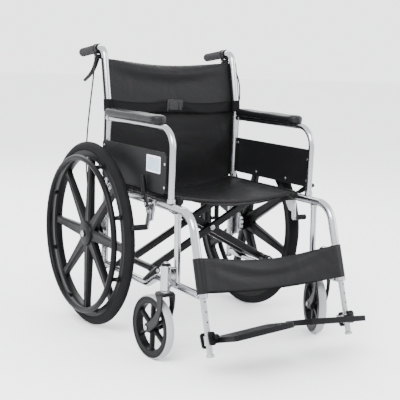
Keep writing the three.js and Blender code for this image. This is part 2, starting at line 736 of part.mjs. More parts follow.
buildSide(-1, 'right');
buildSide(1, 'left');
add('cross_brace_a', crossHalf(CROSS_X, FRONT_BARS_Y - 9, REAR_BARS_Y + 9, crossBolts), crossBlack);
add('cross_brace_b', crossHalf(-CROSS_X, FRONT_BARS_Y + 9, REAR_BARS_Y - 9, null), crossBlack);
add('seat_sling', seatSling(), fabric);
add('back_upholstery', backUpholstery(), fabric);
add('back_belt', backBelt(), fabric);
add('belt_buckle', beltBuckle(), plastic);
add('calf_strap', calfStrap(), fabric);

export default model;
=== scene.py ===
from math import atan2, copysign, cos, degrees, exp, hypot, pi, radians, sin, sqrt, tan

import bmesh
import bpy
from mathutils import Matrix, Vector


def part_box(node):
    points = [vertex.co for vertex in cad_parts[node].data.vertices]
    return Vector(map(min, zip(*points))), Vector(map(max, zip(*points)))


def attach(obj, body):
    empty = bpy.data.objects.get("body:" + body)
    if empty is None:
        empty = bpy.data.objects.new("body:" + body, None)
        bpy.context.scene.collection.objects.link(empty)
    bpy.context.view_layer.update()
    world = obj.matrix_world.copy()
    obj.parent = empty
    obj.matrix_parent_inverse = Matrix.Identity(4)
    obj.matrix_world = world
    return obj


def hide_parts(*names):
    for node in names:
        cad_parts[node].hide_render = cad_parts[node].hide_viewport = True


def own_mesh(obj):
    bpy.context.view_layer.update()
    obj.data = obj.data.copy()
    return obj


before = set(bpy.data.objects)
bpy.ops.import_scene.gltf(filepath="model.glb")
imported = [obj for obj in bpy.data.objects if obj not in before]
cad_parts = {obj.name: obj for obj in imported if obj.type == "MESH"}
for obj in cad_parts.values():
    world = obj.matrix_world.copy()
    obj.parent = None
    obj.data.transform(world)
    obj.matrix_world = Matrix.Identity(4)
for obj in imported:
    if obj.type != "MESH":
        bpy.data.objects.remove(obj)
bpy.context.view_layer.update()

# The shapes below are drawn in millimetres, in the CAD source's frame, and moved by this much.
CENTRE = Vector((0, -14, 0))
MM = 0.001

# Sizes that several pieces share, in millimetres, with the angles in radians. X is measured from the
# middle and Z from the floor.
FRAME_X = 252
CROSS_X = 215
RAIL_Z = 450
SEAT_Z = 462
LOWER_Z = 228
LOWER_REAR_Z = 194
LUGS_Y = (-37, 161)
SADDLES_Y = (-115, 190)
CANE_Y = 247
CANE_FRONT_Y = CANE_Y - 11.3
CANE_BEND_Z = 716
HANDLE_Y = 290
HANDLE_Z = 905
HANDLE_DROP = radians(7.5)
LEVER_ALONG = 43
LEVER_BELOW = 27
KNEE_Y = -287
LEG_ANGLE = radians(18.5)
LEG_LENGTH = 240
TUBE_END_Z = 69
FOOT_Z = 114
FOOT_PIN_X = 9.5
FOOT_PIN_Z = 8
ARM_X = 256
ARM_Z = 679
ARM_FRONT_Y = -178
WHEEL_X = 314
WHEEL_R = 300
HUB_Y = 238
HUB = Vector((0, HUB_Y, WHEEL_R))
CASTER_X = 293
CASTER_Y = -226
CASTER_R = 95
CASTER_TRAIL = 57
LOCK_PIVOT = Vector((0, -75, 446))
SHOE_PIVOT = Vector((0, -82, 424))
CLOTH_FRAMES = 36  # how long a sheet is left to hang
BEND_STEP = 5  # degrees from point to point round a tube's bend

# How each side stands in the picture: angles in degrees, and the height of each lock lever's tip.
SIDES = (("right", -1), ("left", 1))
SPOKE_START = {"right": 1, "left": 15}
CASTER_TURN = {"right": 4, "left": -23}
LEVER_LEAN = {"right": 22, "left": -60}
LEVER_TIP = {"right": 86, "left": 104}
SHOE_LEAN = {"right": 0, "left": -21}
# Points on each brake cable, from its lever to its brake, with X out from the middle.
CABLE_RUN = {
    "right": [(268, 322, 872), (270, 324, 830), (273, 327, 780), (277, 334, 710), (280, 342, 630),
              (281, 345, 560), (282, 338, 490), (284, 314, 420), (286, 284, 372), (286, 273, 360)],
    "left": [(268, 322, 872), (286, 318, 850), (300, 306, 805), (296, 290, 752), (281, 277, 700),
             (273, 270, 640), (273, 269, 540), (275, 270, 440), (284, 272, 375), (286, 273, 360)],
}
# The picture's camera, in metres, radians (yaw, pitch, roll) and millimetres of lens.
CAMERA_AT = Vector((-1.5706, -2.3864, 0.8856))
CAMERA_ANGLES = (0.57241, 0.15874, 0.04312)
CAMERA_LENS = 80.37


def on_leg(x, s):
    """The point on a leg tube's middle line, s below the knee."""
    return Vector((x, KNEE_Y - s * sin(LEG_ANGLE), RAIL_Z - s * cos(LEG_ANGLE)))


def on_grip(x, s, down=0):
    """The point s behind the bend on a push handle's middle line, or that far down below it."""
    return Vector((x, HANDLE_Y + s * cos(HANDLE_DROP), HANDLE_Z - s * sin(HANDLE_DROP) - down))


LEG_DOWN = on_leg(0, 1) - on_leg(0, 0)
LEG_AHEAD = Vector((0, -cos(LEG_ANGLE), sin(LEG_ANGLE)))
FOOT_Y = on_leg(0, (RAIL_Z - FOOT_Z) / cos(LEG_ANGLE)).y
GRIP_BACK = on_grip(0, 1) - on_grip(0, 0)
LEVER_PIVOT = on_grip(0, LEVER_ALONG, LEVER_BELOW)


# ---- Materials ----
def add_node(made, kind, where, **inputs):
    """A new shader node that reads where. An underscore in an input's name stands for a space."""
    node = made.node_tree.nodes.new(f"ShaderNode{kind}")
    for name, value in inputs.items():
        node.inputs[name.replace("_", " ")].default_value = value
    if where:
        made.node_tree.links.new(where.outputs["Object"], node.inputs["Vector"])
    return node


def material(name, color, rough, metallic=0.0, mottle=0.12, mottle_scale=18.0, grain=0.0, grain_scale=900.0,
             sheen=0.0, specular=0.5):
    """A principled surface whose colour and roughness drift slowly, with a fine grain in the normal."""
    made = bpy.data.materials.new(name)
    made.use_nodes = True
    link = made.node_tree.links.new
    bsdf = made.node_tree.nodes["Principled BSDF"]
    bsdf.inputs["Metallic"].default_value = metallic
    bsdf.inputs["Sheen Weight"].default_value = sheen
    bsdf.inputs["Sheen Roughness"].default_value = 0.4
    bsdf.inputs["Specular IOR Level"].default_value = specular
    where = add_node(made, "TexCoord", None)
    drift = add_node(made, "TexNoise", where, Scale=mottle_scale, Detail=5)
    shades = add_node(made, "ValToRGB", None)
    shades.color_ramp.elements[0].position = 0.3
    shades.color_ramp.elements[0].color = (*(c * (1 - mottle) for c in color), 1)
    shades.color_ramp.elements[1].position = 0.7
    shades.color_ramp.elements[1].color = (*(min(1, c * (1 + mottle)) for c in color), 1)
    link(drift.outputs["Fac"], shades.inputs["Fac"])
    link(shades.outputs["Color"], bsdf.inputs["Base Color"])
    spread = add_node(made, "MapRange", None, To_Min=rough * 0.88, To_Max=min(1, rough * 1.12))
    link(drift.outputs["Fac"], spread.inputs["Value"])
    link(spread.outputs["Result"], bsdf.inputs["Roughness"])
    if grain:
        fine = add_node(made, "TexNoise", where, Scale=grain_scale, Detail=2)
        bump = add_node(made, "Bump", None, Strength=grain, Distance=0.0006)
        link(fine.outputs["Fac"], bump.inputs["Height"])
        link(bump.outputs["Normal"], bsdf.inputs["Normal"])
    return made


def woven(name, color, rough, pitch, strength, sheen, wrinkle, specular):
    """Cloth: crossed waves make the weave, and a broad noise gives it soft creases."""
    made = material(name, color, rough, mottle=0.18, mottle_scale=9, sheen=sheen, specular=specular)
    link = made.node_tree.links.new
    bsdf = made.node_tree.nodes["Principled BSDF"]
    where = made.node_tree.nodes["Texture Coordinate"]
    weave = add_node(made, "Math", None)
    weave.operation = "MAXIMUM"
    for k, direction in enumerate(("X", "Z")):
        wave = add_node(made, "TexWave", where, Scale=pitch, Distortion=0.6)
        wave.bands_direction = direction
        link(wave.outputs["Fac"], weave.inputs[k])
    fine = add_node(made, "Bump", None, Strength=strength, Distance=0.0004)
    link(weave.outputs["Value"], fine.inputs["Height"])
    crease = add_node(made, "TexNoise", where, Scale=7, Detail=4, Distortion=0.5)
    broad = add_node(made, "Bump", None, Strength=wrinkle, Distance=0.02)
    link(crease.outputs["Fac"], broad.inputs["Height"])
    link(fine.outputs["Normal"], broad.inputs["Normal"])
    link(broad.outputs["Normal"], bsdf.inputs["Normal"])
    return made


SILVER = material("silver_tube", (0.33, 0.335, 0.345), 0.20, 1.0, mottle=0.03, mottle_scale=6, grain=0.04,
                  grain_scale=500)
STEEL = material("zinc_steel", (0.36, 0.365, 0.375), 0.30, 1.0, mottle=0.08, mottle_scale=40, grain=0.06)
BLACK_PAINT = material("black_paint", (0.002, 0.002, 0.0022), 0.36, mottle=0.15, grain=0.05, specular=0.18)
PLASTIC = material("black_plastic", (0.0025, 0.0025, 0.0028), 0.40, mottle=0.15, grain=0.12, grain_scale=1400,
                   specular=0.09)
PANEL = material("panel_plastic", (0.004, 0.004, 0.0045), 0.48, mottle=0.12, grain=0.25, grain_scale=1800,
                 specular=0.12)
TYRE = material("tyre_rubber", (0.0045, 0.0045, 0.005), 0.74, mottle=0.22, mottle_scale=25, grain=0.3,
                specular=0.07)
GREY_RUBBER = material("grey_tread", (0.27, 0.275, 0.28), 0.68, mottle=0.06, grain=0.2, specular=0.3)
GRIP = material("grip_rubber", (0.013, 0.012, 0.014), 0.72, mottle=0.12, grain=0.3, specular=0.25)
CABLE = material("cable_sleeve", (0.005, 0.005, 0.005), 0.5, mottle=0.1, specular=0.25)
PAD = material("pad_skin", (0.003, 0.003, 0.0033), 0.40, mottle=0.18, grain=0.45, grain_scale=420,
               specular=0.18)
CLOTH = woven("nylon_cloth", (0.0022, 0.0022, 0.0025), 0.46, pitch=260, strength=0.20, sheen=0.01,
              wrinkle=0.38, specular=0.13)
WEBBING = woven("belt_webbing", (0.0015, 0.0015, 0.0018), 0.66, pitch=160, strength=0.5, sheen=0.0,
                wrinkle=0.05, specular=0.08)
BUCKLE = material("buckle_plastic", (0.006, 0.006, 0.0066), 0.32, mottle=0.1, specular=0.28)
LABEL_EDGE = material("label_white", (0.60, 0.62, 0.64), 0.35, mottle=0.02)
LABEL_FACE = material("label_blue", (0.30, 0.40, 0.48), 0.35, mottle=0.10, mottle_scale=60)


# ---- Shapes: each returns (points, faces) ----
def fillet(corners):
    """The centreline through corners, each (x, y, z) or (x, y, z, bend radius)."""
    points = [Vector(corners[0][:3])]
    for before, corner, after in zip(corners, corners[1:], corners[2:]):
        at, radius = Vector(corner[:3]), corner[3]
        a = (Vector(before[:3]) - at).normalized()
        b = (Vector(after[:3]) - at).normalized()
        turn = pi - a.angle(b)
        reach = radius * tan(turn / 2)
        centre = at + (a + b).normalized() * (radius / cos(turn / 2))
        start, end = at + a * reach, at + b * reach
        steps = max(2, round(degrees(turn) / BEND_STEP))
        u, v = (start - centre).normalized(), (end - centre).normalized()
        for k in range(steps + 1):
            t = k / steps
            mixed = u * sin((1 - t) * turn) + v * sin(t * turn)
            points.append(centre + mixed.normalized() * radius)
    points.append(Vector(corners[-1][:3]))
    return points


def smooth_path(points, steps=6):
    """A Catmull-Rom line through points."""
    p = [Vector(q) for q in points]
    p = [2 * p[0] - p[1], *p, 2 * p[-1] - p[-2]]
    line = []
    for a, b, c, d in zip(p, p[1:], p[2:], p[3:]):
        for k in range(steps):
            t = k / steps
            line.append(0.5 * (2 * b + (c - a) * t + (2 * a - 5 * b + 4 * c - d) * t * t
                               + (3 * b - a - 3 * c + d) * t ** 3))
    line.append(p[-2])
    return line


def skin_faces(steps, sides):
    """The faces of a closed skin over steps + 1 rings of sides points each."""
    faces = []
    for k in range(steps):
        for j in range(sides):
            a, b = k * sides + j, k * sides + (j + 1) % sides
            faces.append((a, b, b + sides, a + sides))
    return [*faces, tuple(reversed(range(sides))), tuple(range(steps * sides, (steps + 1) * sides))]


def tube(path, radius, sides=24, flat=1.0):
    """A round bar along path. radius is a number or one per point, and flat stretches it across X."""
    path = [Vector(p) for p in path]
    radii = radius if isinstance(radius, (list, tuple)) else [radius] * len(path)
    points = []
    normal = None
    for k, p in enumerate(path):
        ahead = path[min(k + 1, len(path) - 1)] - path[max(k - 1, 0)]
        ahead.normalize()
        if normal is None:
            normal = ahead.orthogonal().normalized()
            if abs(ahead.x) < 0.9:
                normal = (Vector((1, 0, 0)) - ahead * ahead.x).normalized()
        else:
            normal = (normal - ahead * normal.dot(ahead)).normalized()
        other = ahead.cross(normal)
        for j in range(sides):
            a = 2 * pi * j / sides
            points.append(p + (normal * cos(a) * flat + other * sin(a)) * radii[k])
    return points, skin_faces(len(path) - 1, sides)


def rod(start, end, radius, sides=20):
    return tube([start, end], radius, sides)


def turned(profile, centre, axis, segments=64, ring=False):
    """profile, a list of (radius, distance along axis), swept round the axis. ring closes it on itself."""
    axis = Vector(axis).normalized()
    u = axis.orthogonal().normalized()
    v = axis.cross(u)
    points, faces = [], []
    for j in range(segments):
        a = 2 * pi * j / segments
        out = u * cos(a) + v * sin(a)
        points += [Vector(centre) + out * r + axis * t for r, t in profile]
    n = len(profile)
    for j in range(segments):
        a, b = j * n, ((j + 1) % segments) * n
        for k in range(n if ring else n - 1):
            m = (k + 1) % n
            faces.append((a + k, b + k, b + m, a + m))
    if not ring:
        faces.append(tuple(j * n for j in range(segments)))
        faces.append(tuple(j * n + n - 1 for j in reversed(range(segments))))
    return points, faces


def set_at(outline, axis, t):
    """outline, in the two axes other than axis, set at t along axis."""
    return [Vector({"x": (t, p, q), "y": (p, t, q), "z": (p, q, t)}[axis]) for p, q in outline]


def prism(outline, axis, a, b):
    """outline drawn out from a to b along axis."""
    n = len(outline)
    points = [*set_at(outline, axis, a), *set_at(outline, axis, b)]
    faces = [(k, (k + 1) % n, n + (k + 1) % n, n + k) for k in range(n)]
    return points, [*faces, tuple(range(n)), tuple(range(2 * n - 1, n - 1, -1))]


def hollow_prism(outer, inner, axis, a, b):
    """The band between two outlines with as many points each, drawn out from a to b along axis."""
    n = len(outer)
    points = [p for t in (a, b) for line in (outer, inner) for p in set_at(line, axis, t)]
    walls = ((0, n), (2 * n, 3 * n), (0, 2 * n), (n, 3 * n))
    faces = [(u + k, u + (k + 1) % n, v + (k + 1) % n, v + k) for k in range(n) for u, v in walls]
    return points, faces


def block(x0, x1, y0, y1, z0, z1):
    return prism([(y0, z0), (y1, z0), (y1, z1), (y0, z1)], "x", x0, x1)


def rounded(p0, p1, q0, q1, radius, steps=5):
    """A rectangle with round corners."""
    line = []
    for cp, cq, start in ((p1, q1, 0), (p0, q1, 90), (p0, q0, 180), (p1, q0, 270)):
        sp, sq = (1 if cp == p1 else -1), (1 if cq == q1 else -1)
        for k in range(steps + 1):
            a = radians(start + 90 * k / steps)
            line.append((cp - sp * radius + radius * cos(a), cq - sq * radius + radius * sin(a)))
    return line


def moved(shape, matrix):
    return [matrix @ Vector(p) for p in shape[0]], shape[1]


def placed(parts, matrix):
    """(shape, material) pairs with their shapes moved."""
    return [(moved(shape, matrix), look) for shape, look in parts]


def build(name, parts, body, nodes=(), bevel=0.0, sharp=38, slot=None):
    """One object from (shape, material) pairs, placed, shaded, put on its body and shown instead of nodes."""
    mesh = bpy.data.meshes.new(name)
    points, faces, owners, materials = [], [], [], []
    for (p, f), look in parts:
        if look not in materials:
            materials.append(look)
        start = len(points)
        points += [(Vector(q) + CENTRE) * MM for q in p]
        faces += [tuple(start + i for i in face) for face in f]
        owners += [materials.index(look)] * len(f)
    mesh.from_pydata(points, [], faces)
    for look in materials:
        mesh.materials.append(look)
    mesh.polygons.foreach_set("material_index", owners)
    tidy = bmesh.new()
    tidy.from_mesh(mesh)
    bmesh.ops.recalc_face_normals(tidy, faces=tidy.faces)
    tidy.to_mesh(mesh)
    tidy.free()
    mesh.shade_smooth()
    mesh.set_sharp_from_angle(angle=radians(sharp))
    obj = bpy.data.objects.new(name, mesh)
    bpy.context.scene.collection.objects.link(obj)
    if bevel:
        edge = obj.modifiers.new("edges", "BEVEL")
        edge.width = bevel * MM
        edge.segments = 2
        edge.limit_method = "ANGLE"
        edge.angle_limit = radians(40)
    if nodes:
        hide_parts(*nodes)
    if body:
        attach(obj, body)
    return obj


def side_part(name, piece, parts, body, node, **finish):
    """build for a piece that both sides have: piece, body and node all get the side's name in front."""
    return build(f"{name}_{piece}", parts, f"{name}_{body}", [f"{name}_{node}"], **finish)


# ---- Side frames, with their panels and arm pads ----
def cane_tube(name, side):
    """The rear upright, which bends back into the push handle."""
    x = side * FRAME_X
    cane = fillet([(x, CANE_Y, LOWER_REAR_Z - 16), (x, CANE_Y, CANE_BEND_Z, 160), (x, HANDLE_Y, HANDLE_Z, 34),
                   tuple(on_grip(x, 160))])
    ring = [(11.6, 0), (13.4, 1), (13.4, 9), (11.6, 10)]
    side_part(name, "cane_tube", [
        (tube(cane, 11, 28), SILVER),
        (turned(ring, on_grip(x, 45), GRIP_BACK, 32), SILVER),
        (rod((x, CANE_Y, LOWER_REAR_Z - 19), (x, CANE_Y, LOWER_REAR_Z - 14), 11.4, 28), PLASTIC),
    ], "frame", "rear_upright", slot="frame_silver")


def saddle(side, y):
    """The plastic rest for a seat tube, on the rail's inner side."""
    inner, outer, reach = side * (CROSS_X - 14), side * (FRAME_X - 6), 11.6
    outline = [(inner, 440), (outer, 440), (outer, 452), (side * (CROSS_X + 11.2), 457)]
    for k in range(11):
        a = radians(-15 - 15 * k)
        outline.append((side * (CROSS_X + reach * cos(a)), SEAT_Z + reach * sin(a)))
    outline.append((inner, 457))
    return prism(outline, "y", y - 12, y + 12)


def rail_and_leg(name, side):
    x = side * FRAME_X
    rail = fillet([(x, CANE_FRONT_Y, RAIL_Z), (x, KNEE_Y, RAIL_Z, 70), tuple(on_leg(x, LEG_LENGTH))])
    collar = [(13.0, 0), (15.0, 1.5), (15.0, 12), (13.0, 13.5)]
    screw_from, screw_to = (on_leg(x + side * reach, LEG_LENGTH - 8) for reach in (10, 19))
    side_part(name, "rail_and_leg", [
        (tube(rail, 12.5, 32), SILVER),
        (rod((x, CANE_Y - 36, RAIL_Z), (x, CANE_Y - 10, RAIL_Z), 14.2, 32), SILVER),
        (turned(collar, on_leg(x, LEG_LENGTH - 15), LEG_DOWN, 32), SILVER),
        (rod(screw_from, screw_to, 4, 6), STEEL),
        *((saddle(side, y), PLASTIC) for y in SADDLES_Y),
    ], "frame", "side_rail", slot="frame_silver")


def arm_bar(name, side):
    """The tube from the rail up, round a bend and back to the cane, which carries the arm pad."""
    x = side * ARM_X
    bar = fillet([(x, ARM_FRONT_Y, 463), (x, ARM_FRONT_Y, ARM_Z, 62), (x, CANE_FRONT_Y, ARM_Z)])
    foot = [(9.8, 0), (12.5, 1), (12.5, 13), (9.8, 14)]
    side_part(name, "arm_bar", [
        (tube(bar, 9.5, 24), SILVER),
        (turned(foot, (x, ARM_FRONT_Y, 462), (0, 0, 1), 28), SILVER),
        (rod((x, CANE_Y - 26, ARM_Z), (x, CANE_Y - 10.6, ARM_Z), 11.2, 28), SILVER),
    ], "frame", "arm_tube", slot="frame_silver")


def front_post(name, side):
    x = side * FRAME_X
    side_part(name, "post", [
        (rod((x, -222, 238), (x, -212, 438), 9.5, 24), SILVER),
        (rod((x, -212.6, 428), (x, -212.1, 438), 11, 24), SILVER),
    ], "frame", "front_post", slot="frame_silver")


def lower_tube(name, side):
    """The lower rail, with the two black lugs that a cross brace is hinged in."""
    x = side * FRAME_X
    front = KNEE_Y - (RAIL_Z - LOWER_Z) * tan(LEG_ANGLE) + 16.9 / cos(LEG_ANGLE)
    rail = fillet([(x, front, LOWER_Z), (x, -112, LOWER_Z, 50), (x, -52, LOWER_REAR_Z, 50),
                   (x, CANE_FRONT_Y, LOWER_REAR_Z)])
    parts = [(tube(rail, 11, 28), SILVER)]
    lug = []
    for at_x, at_z, radius, start in ((CROSS_X, LOWER_Z, 11, 52), (FRAME_X - 3, 199, 12, 232)):
        for k in range(10):
            a = radians(start + 20 * k)
            lug.append((side * (at_x + radius * cos(a)), at_z + radius * sin(a)))
    for y in LUGS_Y:
        parts.append((prism(lug, "y", y - 6, y + 6), BLACK_PAINT))
        parts.append((rod((side * CROSS_X, y - 9, LOWER_Z), (side * CROSS_X, y + 9, LOWER_Z), 6.5, 6), STEEL))
    side_part(name, "lower_tube", parts, "frame", "lower_rail", bevel=0.8, slot="frame_silver")


def caster_housing(name, side):
    x = side * CASTER_X
    foot = (x, CASTER_Y, 0)
    barrel = [(13.4, 218), (15, 219.5), (15, 290.5), (13.4, 292)]
    cap = [(13.4, 292), (14.4, 293), (12.5, 297), (9, 299)]
    web = rounded(CASTER_Y - 8, CASTER_Y + 10, 228, 284, 3)
    side_part(name, "caster_housing", [
        (turned(barrel, foot, (0, 0, 1), 32), SILVER),
        (prism(web, "x", side * 263.4, x - side * 11), SILVER),
        (turned(cap, foot, (0, 0, 1), 32), PLASTIC),
        (rod((side * 262, CASTER_Y + 1, 242), (side * 285, CASTER_Y + 1, 242), 3.5, 12), STEEL),
    ], "frame", "caster_barrel", bevel=0.6, slot="frame_silver")


def panel(name, side):
    """The side guard: a plate with a raised edge, screws through it and, on the right, a blank card."""
    inner, outer = side * 263.6, side * 267.2
    outline = [(-150, 485), (236, 485), (250, 492), (250, 600), (243, 607), (-148, 607), (-163, 594),
               (-163, 498)]
    lip = [(-146, 489), (234, 489), (245, 495), (245, 598), (240, 602), (-146, 602), (-158, 591), (-158, 501)]
    parts = [
        (prism(outline, "x", inner, outer), PANEL),
        (hollow_prism(outline, lip, "x", outer, outer + side * 1.2), PANEL),
    ]
    screw = [(4.2, 0), (4.2, 1.4), (2.6, 2.2)]
    for y, z in ((-154, 574), (-154, 505), (-44, 500), (120, 500), (238, 590)):
        parts.append((turned(screw, (outer, y, z), (side, 0, 0), 20), STEEL))
        parts.append((turned(screw, (inner, y, z), (-side, 0, 0), 20), STEEL))
    if name == "right":
        card = rounded(-128, -45, 542, 592, 3)
        face = rounded(-123, -50, 547, 587, 2)
        parts.append((prism(card, "x", outer, outer + side * 0.5), LABEL_EDGE))
        parts.append((prism(face, "x", outer + side * 0.3, outer + side * 0.8), LABEL_FACE))
    side_part(name, "skirt_guard", parts, "frame", "side_panel", bevel=0.5, slot="black_plastic")


def cushion_skin(x, z0):
    """The pad's closed skin: oval sections along Y, which shrink towards both ends."""
    first, length, half_width = -110, 340, 25
    sections, sides = 44, 28
    points = []
    for k in range(sections + 1):
        t = k / sections
        y = first + length * t
        from_end = min(t, 1 - t) * length
        reach = 30 if t < 0.5 else 20
        swell = sqrt(max(0.0, 1 - (1 - min(1, from_end / reach)) ** 2)) * 0.92 + 0.08
        crown = 14.6 * (0.3 + 0.7 * swell)
        for j in range(sides):
            a = 2 * pi * j / sides
            across = half_width * swell * copysign(abs(cos(a)) ** 0.55, cos(a))
            h = copysign(abs(sin(a)) ** 0.6, sin(a))
            z = z0 + 12.6 + (crown * h if h > 0 else 12.6 * h)
            if a > pi:
                z -= 0.9 * exp(-(a - 2 * pi) ** 2 * 40)
            if h > 0.3:
                z += 0.6 * sin(y / 23)
            points.append(Vector((x + across, y, z)))
    return points, skin_faces(sections, sides)


def arm_cushion(name, side):
    x = side * ARM_X
    seam = [Vector((x + side * 25.2, -92 + 8 * k, 697.5)) for k in range(39)]
    pad = side_part(name, "arm_cushion", [
        (cushion_skin(x, ARM_Z + 6), PAD),
        (tube(seam, 0.9, 8), PAD),
    ], "frame", "arm_pad", sharp=60, slot="arm_pad")


# ---- Push handles and brake cables ----
def hand_grip(name, side):
    """A rubber grip with a flange and 19 ribs."""
    profile = [(11.3, 0), (16.8, 0.6), (16.8, 4), (14.6, 5)]
    for k in range(19):
        s = 6 + k * 5.2
        profile += [(14.6, s), (13.4, s + 1.2), (13.4, s + 2.2), (14.6, s + 3.4)]
    profile += [(14.8, 106), (14.2, 109.5), (11.5, 112), (6, 113.2)]
    side_part(name, "hand_grip", [
        (turned(profile, on_grip(side * FRAME_X, 54), GRIP_BACK, 40), GRIP),
    ], "frame", "grip", sharp=50, slot="grip_rubber")


def lever_clamp(name, side):
    """The clamp round the cane, with two cheeks that hold the brake lever's pin."""
    x = side * FRAME_X
    y, z = LEVER_PIVOT.y, LEVER_PIVOT.z
    band = [(11.3, -9), (15, -8), (15, 8), (11.3, 9)]
    parts = [
        (turned(band, on_grip(x, LEVER_ALONG), GRIP_BACK, 32), PLASTIC),
        (block(x - 12, x + 12, y - 8, y + 8, z + 9, z + 17), PLASTIC),
        (rod((x - 14, y, z), (x + 14, y, z), 3, 12), STEEL),
        (rod((x + side * 12, y - 12, z + 3), (x + side * 19, y - 18, z - 14), 4.2, 16), PLASTIC),
    ]
    cheek = rounded(y - 8, y + 8, z - 8, z + 14, 6)
    for k in (-1, 1):
        parts.append((prism(cheek, "x", x + k * 8, x + k * 12), PLASTIC))
    side_part(name, "lever_clamp", parts, "frame", "lever_mount", bevel=0.6, slot="black_plastic")


def hand_lever(name, side):
    x = side * FRAME_X
    y, z = LEVER_PIVOT.y, LEVER_PIVOT.z
    bends = [(2, 0), (14, -18), (32, -42), (60, -62), (99, -81.5)]
    blade = smooth_path([(x, y + back, z + rise) for back, rise in bends], 5)
    radii = [7.2 - 3.0 * abs(k / (len(blade) - 1) - 0.25) for k in range(len(blade))]
    tip = blade[-1] + Vector((0, 1.5, -0.7))
    side_part(name, "hand_lever", [
        (tube([*blade, tip], [*radii, 2.2], 16, flat=1.15), PLASTIC),
        (rod((x - 7, y, z), (x + 7, y, z), 7.5, 20), PLASTIC),
    ], "hand_lever", "brake_lever", slot="black_plastic")


def brake_cable(name, side):
    """The sleeve from the lever down to the brake arm, with a metal ferrule at each end."""
    line = smooth_path([(side * x, y, z) for x, y, z in CABLE_RUN[name]], 8)
    ends = build(f"{name}_cable_ends", [
        (tube(line[:3], 3.7, 16), STEEL),
        (tube(line[-5:-1], 3.6, 16), STEEL),
    ], f"{name}_frame", slot="hardware")
    cable = side_part(name, "cable", [(tube(line, 2.5, 12), CABLE)], "frame", "brake_cable", slot="cable")


# ---- Wheels ----
def spoke(centre, angle, r0, r1, x_mid, widths, depths):
    """A tapering bar with bevelled edges, from r0 to r1 out from the hub, with a rib down its face.
    widths are those at its two ends and the flare added at both, and depths those at its two ends."""
    points, steps = [], 8
    c, s = cos(angle), sin(angle)
    for k in range(steps + 1):
        t = k / steps
        r = r0 + (r1 - r0) * t
        flare = max(0, 1 - t * 6) ** 2 + max(0, t * 7 - 6) ** 2
        w = widths[0] + (widths[1] - widths[0]) * t + widths[2] * flare
        d = depths[0] + (depths[1] - depths[0]) * t
        section = [(-w / 2, -d * 0.3), (-w * 0.3, -d / 2), (w * 0.3, -d / 2), (w / 2, -d * 0.3),
                   (w / 2, d * 0.3), (w * 0.3, d / 2), (0, d / 2 + 1.2), (-w * 0.3, d / 2), (-w / 2, d * 0.3)]
        points += [centre + Vector((x_mid + q, r * c - p * s, r * s + p * c)) for p, q in section]
    return points, skin_faces(steps, len(section))


def mag_wheel(name, side):
    """The eight-spoked plastic wheel."""
    x, axis = side * WHEEL_X, (side, 0, 0)
    middle = HUB + Vector((x, 0, 0))
    half = [(250, -12), (252, -14.5), (258, -14.8), (264, -13.2), (271.6, -14), (271.9, -10), (268, -6)]
    rim = [*half, *((r, -t) for r, t in reversed(half)), (248, 6), (248, -6)]
    cap = [(24, -25), (30, -24), (31, -8), (40, -4), (41.5, 2), (41.5, 12), (38, 18), (30, 20.5), (24, 21.5)]
    parts = [(turned(rim, middle, axis, 96, ring=True), PLASTIC), (turned(cap, middle, axis, 56), PLASTIC)]
    for k in range(8):
        a = radians(SPOKE_START[name] + 45 * k)
        parts.append((spoke(HUB, a, 30, 251, x, (38, 23, 11), (26 * side, 19 * side)), PLASTIC))
    side_part(name, "mag_wheel", parts, "wheel", "wheel", sharp=32, slot="black_plastic")


def road_tyre(name, side):
    """The tyre, with a thin groove on either side of its middle."""
    half = [(271.9, -13.4), (275, -15.4), (281, -16), (287, -15), (293, -11.5), (297.3, -7), (299.2, -4.4),
            (298.3, -3.6), (298.3, -2.6), (299.7, -1.8)]
    outline = [*half, (WHEEL_R, 0), *((r, -t) for r, t in reversed(half))]
    side_part(name, "road_tyre", [
        (turned(outline, HUB + Vector((side * WHEEL_X, 0, 0)), (side, 0, 0), 96, ring=True), TYRE),
    ], "wheel", "tyre", sharp=40, slot="tyre")


def push_rim(name, side):
    """The hand rim outside the wheel, on eight stand-offs set between the spokes."""
    angles = [2 * pi * k / 20 for k in range(20)]
    section = [(249 + 9.5 * cos(a), 9.5 * sin(a)) for a in angles]
    middle = HUB + Vector((side * 351, 0, 0))
    parts = [(turned(section, middle, (side, 0, 0), 96, ring=True), PLASTIC)]
    for k in range(8):
        a = radians(SPOKE_START[name] + 45 * (k + 0.5))
        y, z = cos(a), sin(a)
        near = HUB + Vector((side * 327.5, 254 * y, 254 * z))
        far = HUB + Vector((side * 343.5, 250 * y, 250 * z))
        stand_off = [near, near.lerp(far, 0.3), near.lerp(far, 0.75), far]
        parts.append((tube(stand_off, [9, 7, 6.5, 8], 12), PLASTIC))
    side_part(name, "push_rim", parts, "wheel", "handrim", sharp=45, slot="black_plastic")


def hub_plate(name, side):
    """The plate that carries the axle, bolted to the cane, with the round cover of the drum brake."""
    outline = [(216, 262), (256, 262), (262, 272), (262, 300), (258, 340), (252, 348), (232, 352), (216, 344),
               (214, 330), (214, 266)]
    cover = [(34, 0), (34, 13), (31, 15), (12, 15)]
    parts = [
        (prism(outline, "x", side * 263.5, side * 268.2), STEEL),
        (turned(cover, HUB + Vector((side * 267, 0, 0)), (side, 0, 0), 48), STEEL),
    ]
    for z in (336, 270):
        parts.append((rod((side * 268, HUB_Y, z), (side * 272, HUB_Y, z), 6, 6), STEEL))
    side_part(name, "hub_plate", parts, "frame", "axle_plate", bevel=0.8, slot="hardware")


def hub_axle(name, side):
    nut = [(11, 335.4), (11.5, 336), (11.5, 341), (8, 343)]
    side_part(name, "hub_axle", [
        (rod((side * 265, HUB_Y, WHEEL_R), (side * 341, HUB_Y, WHEEL_R), 6, 20), STEEL),
        (turned(nut, HUB, (side, 0, 0), 6), STEEL),
    ], "frame", "wheel_axle", slot="hardware")


